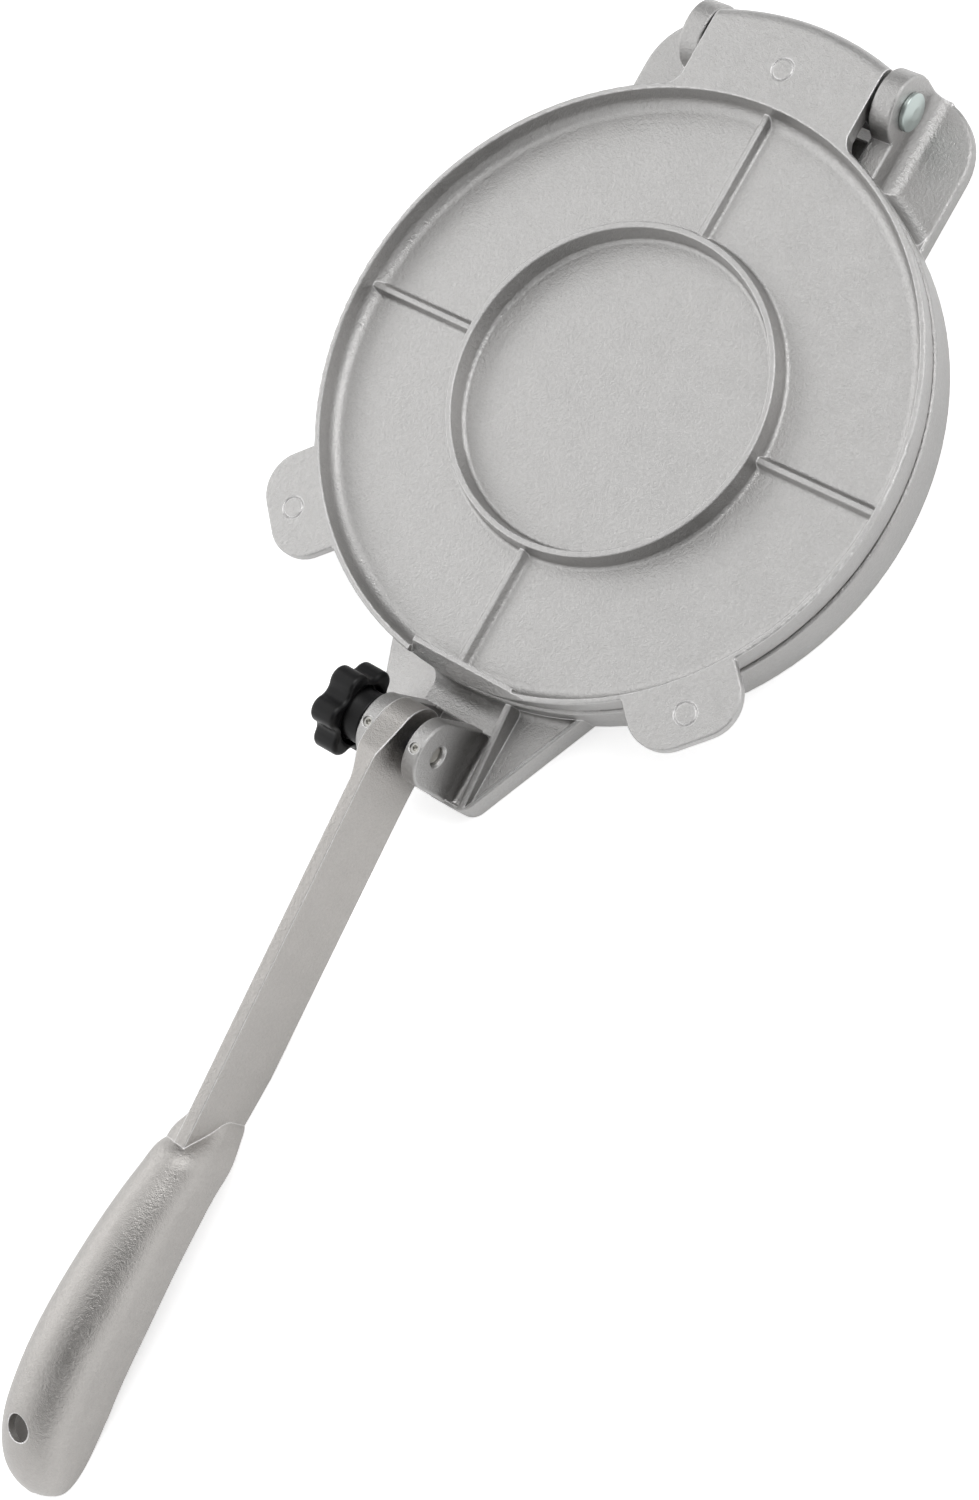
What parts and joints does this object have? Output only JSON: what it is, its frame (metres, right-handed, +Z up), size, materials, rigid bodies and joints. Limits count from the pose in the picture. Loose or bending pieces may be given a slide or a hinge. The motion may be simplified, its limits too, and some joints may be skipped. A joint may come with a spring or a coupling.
{
  "type": "tortilla press",
  "caption": "Cast aluminium tortilla press: ribbed round lid hinged on a round base, with a long lever that folds over to press it, held by a star knob.",
  "frame": {"origin": "middle of the whole press's box, on the table it stands on", "axes": "+Z up from the table, +Y from the lever's tip towards the hinge, X across the press"},
  "size_m": [0.203, 0.519, 0.0425],
  "materials": {
    "cast_base": "die cast, tumbled to a satin",
    "cast_lid": "die cast, tumbled to a satin",
    "cast_lever": "die cast, tumbled to a satin",
    "zinc_plated_pin": "zinc plated, pale bluish green",
    "zinc_plated_washer": "zinc plated",
    "spring_steel": "oiled spring steel",
    "set_screw_steel": "zinc plated",
    "stud_steel": "zinc plated",
    "knob_plastic": "moulded black plastic",
    "knob_washer_steel": "zinc plated",
    "bush_brass": "turned",
    "washer_nylon": "natural nylon",
    "sleeve_nylon": "moulded black nylon"
  },
  "bodies": {
    "base": {"base_plate": "cast_base", "hinge_pin": "zinc_plated_pin", "hinge_pin_washer": "zinc_plated_washer", "hinge_pin_clip": "spring_steel", "pivot_set_screws": "set_screw_steel", "lever_washer": "washer_nylon", "lever_sleeve": "sleeve_nylon"},
    "lid": {"top_plate": "cast_lid"},
    "lever_arm": {"lever": "cast_lever", "lever_bush": "bush_brass"},
    "knob_slider": {"knob_washer": "knob_washer_steel"},
    "knob_screw": {"star_knob": "knob_plastic", "pivot_stud": "stud_steel"}
  },
  "joints": [
    {"name": "lid_hinge", "type": "hinge", "parent": "base", "child": "lid", "pos_m": [0, 0.24677, 0.0168], "axis": [-1, 0, 0], "range_deg": [0, 107]},
    {"name": "lever_pivot", "type": "hinge", "parent": "base", "child": "lever_arm", "pos_m": [0, 0.00517, 0.0257], "axis": [-1, 0, 0], "range_deg": [0, 141]},
    {"name": "knob_travel", "type": "slide", "parent": "base", "child": "knob_slider", "axis": [-1, 0, 0], "range_m": [0, 0.0031]},
    {"name": "knob_turn", "type": "hinge", "parent": "knob_slider", "child": "knob_screw", "pos_m": [-0.0235, 0.00517, 0.0257], "axis": [-1, 0, 0], "range_deg": [0, 1080]}
  ],
  "couplings": [
    {"joint": "knob_travel", "follows": "knob_turn", "m_per_rad": 0.00015915}
  ]
}
